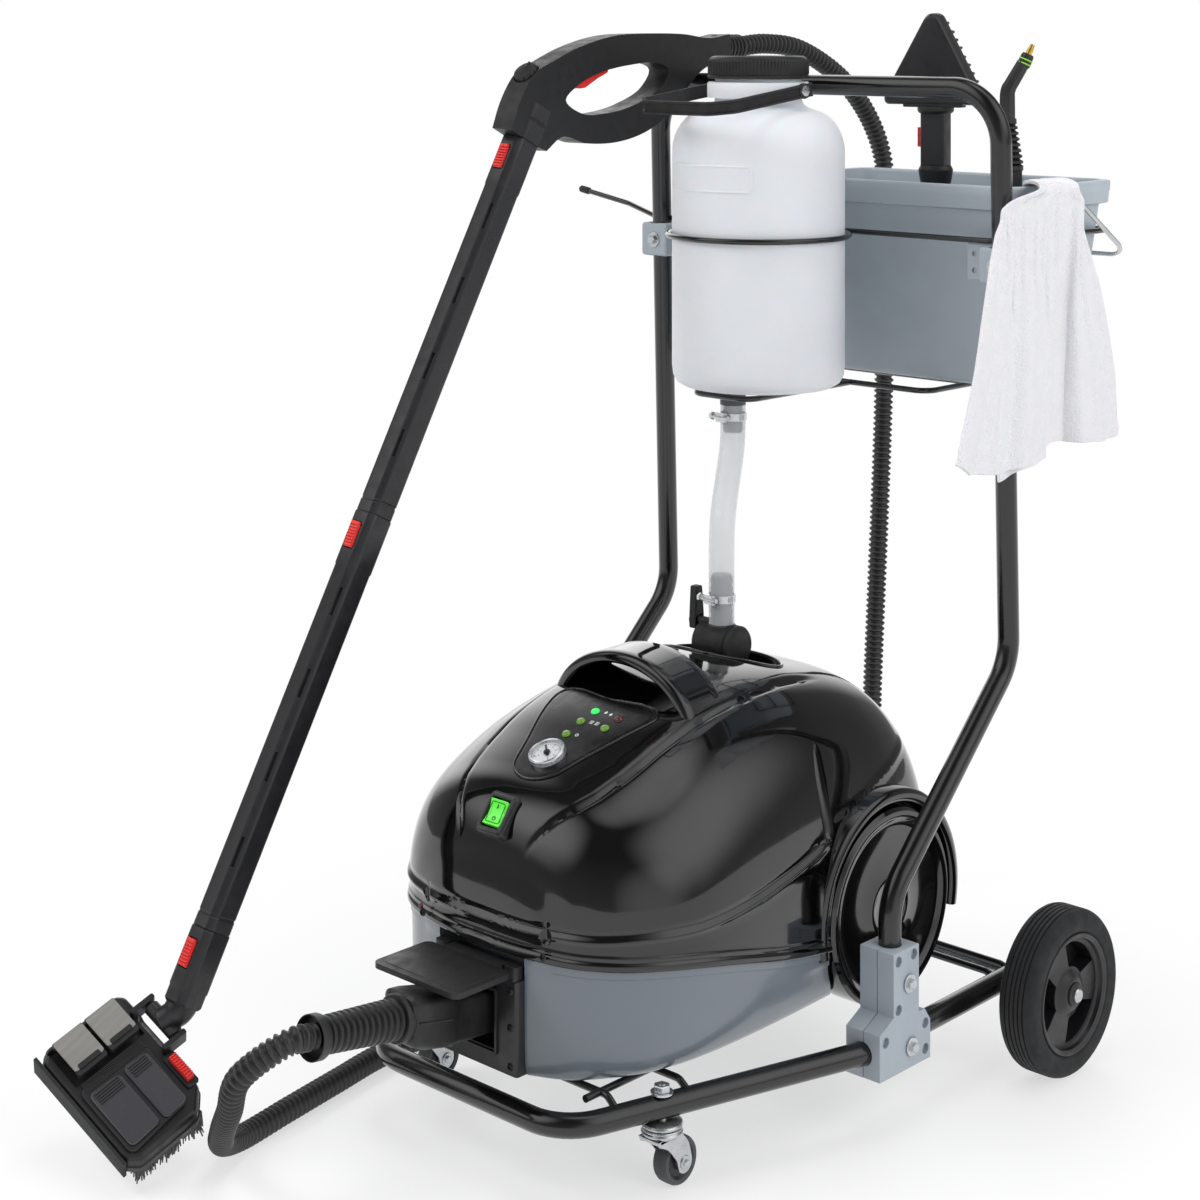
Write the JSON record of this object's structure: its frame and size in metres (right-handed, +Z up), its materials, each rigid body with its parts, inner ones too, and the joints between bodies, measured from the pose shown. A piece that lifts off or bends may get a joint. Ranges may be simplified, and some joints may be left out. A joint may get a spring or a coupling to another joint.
{
  "type": "steam cleaner",
  "caption": "Commercial steam cleaner on a wheeled tubular trolley with a water bottle, accessory bucket, towel, and a steam hose with wand and floor brush.",
  "frame": {"origin": "on the floor, under the middle of the whole object's bounding box", "axes": "+Z up, the unit's front faces -Y, +X is on the right of someone looking at its front"},
  "size_m": [0.8126, 1.2832, 1.2115],
  "materials": {
    "black_paint": "semi-gloss powder coat",
    "gloss_black": "high gloss",
    "black_plastic": "fine moulded texture",
    "soft_black": "matte",
    "hose_black": "satin corrugated",
    "bristle_black": "stiff nylon bristle",
    "grey_tub": "semi-gloss",
    "bucket_grey": "satin",
    "bracket_grey": "satin",
    "white_bottle": "translucent satin",
    "clear_hose": "translucent",
    "zinc": "bright zinc plate",
    "tyre": "matte",
    "red": "satin",
    "green": "illuminated",
    "towel": "looped terry",
    "dial": "satin bezel",
    "stainless": "brushed",
    "clip_grey": "satin"
  },
  "bodies": {
    "trolley": {"base_frame": "black_paint", "rear_axle": "zinc", "handle_frame": "black_paint", "left_bracket_inner": "bracket_grey", "left_bracket_outer": "bracket_grey", "right_bracket_inner": "bracket_grey", "right_bracket_outer": "bracket_grey", "left_castor_mount": "zinc", "right_castor_mount": "zinc", "holder_frame": "black_paint", "right_holder_clamp": "bracket_grey", "left_holder_clamp": "bracket_grey", "water_bottle": "white_bottle", "feed_hose": "clear_hose", "feed_valve": "black_plastic", "bucket": "bucket_grey", "triangle_tool": "black_plastic", "detail_nozzle": "black_plastic", "towel": "towel", "top_shell": "gloss_black", "lower_tub": "grey_tub", "boiler": "stainless", "water_pump": "black_plastic", "carry_handle": "gloss_black", "control_panel": "black_plastic", "pressure_gauge": "dial", "steam_socket": "black_plastic", "steam_plug": "black_plastic", "steam_hose": "hose_black", "upper_wand": "black_plastic", "lower_wand": "black_plastic", "wand_grip": "black_plastic", "brush_neck": "black_plastic"},
    "left_wheel": {"left_hub": "black_plastic", "left_tyre": "tyre"},
    "right_wheel": {"right_hub": "black_plastic", "right_tyre": "tyre"},
    "left_castor_fork": {"left_castor_fork": "zinc"},
    "left_castor_wheel": {"left_castor_wheel": "tyre"},
    "right_castor_fork": {"right_castor_fork": "zinc"},
    "right_castor_wheel": {"right_castor_wheel": "tyre"},
    "left_body_wheel": {"left_body_wheel": "gloss_black"},
    "right_body_wheel": {"right_body_wheel": "gloss_black"},
    "socket_flap": {"socket_flap": "black_plastic"},
    "rocker_switch": {"rocker_switch": "green"},
    "gauge_needle": {"gauge_needle": "soft_black"},
    "grip_trigger": {"grip_trigger": "red"},
    "steam_knob": {"steam_knob": "soft_black"},
    "upper_release": {"upper_release": "red"},
    "middle_release": {"middle_release": "red"},
    "lower_release": {"lower_release": "red"},
    "brush_head": {"brush_body": "black_plastic", "brush_bristles": "bristle_black"},
    "front_clip": {"front_clip": "clip_grey"},
    "rear_clip": {"rear_clip": "clip_grey"},
    "bottle_bail": {"bottle_bail": "soft_black"},
    "bottle_cap": {"bottle_cap": "black_plastic"},
    "bucket_bail": {"bucket_bail": "zinc"},
    "valve_lever": {"valve_lever": "soft_black"},
    "triangle_latch": {"triangle_latch": "red"}
  },
  "joints": [
    {"name": "left_wheel_spin", "type": "hinge", "parent": "trolley", "child": "left_wheel", "pos_m": [-0.26771, 0.28652, 0.09354], "axis": [1, 0, 0], "continuous": true},
    {"name": "right_wheel_spin", "type": "hinge", "parent": "trolley", "child": "right_wheel", "pos_m": [0.37629, 0.28652, 0.09354], "axis": [1, 0, 0], "continuous": true},
    {"name": "left_castor_swivel", "type": "hinge", "parent": "trolley", "child": "left_castor_fork", "pos_m": [-0.12471, -0.23048, 0.06254], "axis": [0, 0, 1], "continuous": true},
    {"name": "left_castor_roll", "type": "hinge", "parent": "left_castor_fork", "child": "left_castor_wheel", "pos_m": [-0.12471, -0.21048, 0.02554], "axis": [1, 0, 0], "continuous": true},
    {"name": "right_castor_swivel", "type": "hinge", "parent": "trolley", "child": "right_castor_fork", "pos_m": [0.23329, -0.23048, 0.06254], "axis": [0, 0, 1], "continuous": true},
    {"name": "right_castor_roll", "type": "hinge", "parent": "right_castor_fork", "child": "right_castor_wheel", "pos_m": [0.23329, -0.21048, 0.02554], "axis": [1, 0, 0], "continuous": true},
    {"name": "left_body_wheel_spin", "type": "hinge", "parent": "trolley", "child": "left_body_wheel", "pos_m": [-0.13571, 0.12152, 0.20354], "axis": [1, 0, 0], "continuous": true},
    {"name": "right_body_wheel_spin", "type": "hinge", "parent": "trolley", "child": "right_body_wheel", "pos_m": [0.24429, 0.12152, 0.20354], "axis": [1, 0, 0], "continuous": true},
    {"name": "flap_hinge", "type": "hinge", "parent": "trolley", "child": "socket_flap", "pos_m": [0.05429, -0.31948, 0.21554], "axis": [-1, 0, 0], "range_deg": [0, 60]},
    {"name": "switch_rock", "type": "hinge", "parent": "trolley", "child": "rocker_switch", "pos_m": [0.05429, -0.29048, 0.35854], "axis": [1, 0, 0], "range_deg": [-18, 0]},
    {"name": "needle_turn", "type": "hinge", "parent": "trolley", "child": "gauge_needle", "pos_m": [0.05429, -0.2151, 0.40419], "axis": [0, -0.4067, 0.9135], "range_deg": [-45, 225]},
    {"name": "trigger_pull", "type": "hinge", "parent": "trolley", "child": "grip_trigger", "pos_m": [-0.14571, 0.08252, 1.14754], "axis": [-1, 0, 0], "range_deg": [0, 9]},
    {"name": "knob_turn", "type": "hinge", "parent": "trolley", "child": "steam_knob", "pos_m": [-0.14571, -0.04925, 1.1382], "axis": [0, -0.6293, 0.7771], "range_deg": [0, 270]},
    {"name": "upper_release_press", "type": "slide", "parent": "trolley", "child": "upper_release", "axis": [-0.0271, 0.8948, -0.4457], "range_m": [0, 0.002]},
    {"name": "middle_release_press", "type": "slide", "parent": "trolley", "child": "middle_release", "axis": [-0.0271, 0.8948, -0.4457], "range_m": [0, 0.002]},
    {"name": "lower_release_press", "type": "slide", "parent": "trolley", "child": "lower_release", "axis": [-0.0271, 0.8948, -0.4457], "range_m": [0, 0.002]},
    {"name": "brush_tilt", "type": "hinge", "parent": "trolley", "child": "brush_head", "pos_m": [-0.21413, -0.52561, 0.13486], "axis": [0.8627, 0.1315, -0.4883], "range_deg": [-12, 20]},
    {"name": "front_clip_open", "type": "hinge", "parent": "brush_head", "child": "front_clip", "pos_m": [-0.22759, -0.58589, 0.11533], "axis": [0.0755, 0.9213, 0.3815], "range_deg": [0, 25]},
    {"name": "rear_clip_open", "type": "hinge", "parent": "brush_head", "child": "rear_clip", "pos_m": [-0.22608, -0.56746, 0.12296], "axis": [0.0755, 0.9213, 0.3815], "range_deg": [0, 25]},
    {"name": "bottle_bail_lift", "type": "hinge", "parent": "trolley", "child": "bottle_bail", "pos_m": [0.03229, 0.16852, 1.11654], "axis": [-1, 0, 0], "range_deg": [0, 160]},
    {"name": "cap_turn", "type": "hinge", "parent": "trolley", "child": "bottle_cap", "pos_m": [0.03229, 0.16852, 1.14054], "axis": [0, 0, 1], "range_deg": [0, 360]},
    {"name": "bucket_bail_lift", "type": "hinge", "parent": "trolley", "child": "bucket_bail", "pos_m": [0.11529, 0.41652, 0.99054], "axis": [1, 0, 0], "range_deg": [0, 100]},
    {"name": "valve_lever_turn", "type": "hinge", "parent": "trolley", "child": "valve_lever", "pos_m": [0.00229, 0.08852, 0.48854], "axis": [1, 0, 0], "range_deg": [0, 90]},
    {"name": "triangle_latch_press", "type": "slide", "parent": "trolley", "child": "triangle_latch", "axis": [0.9781, 0.2079, 0], "range_m": [0, 0.002]}
  ]
}
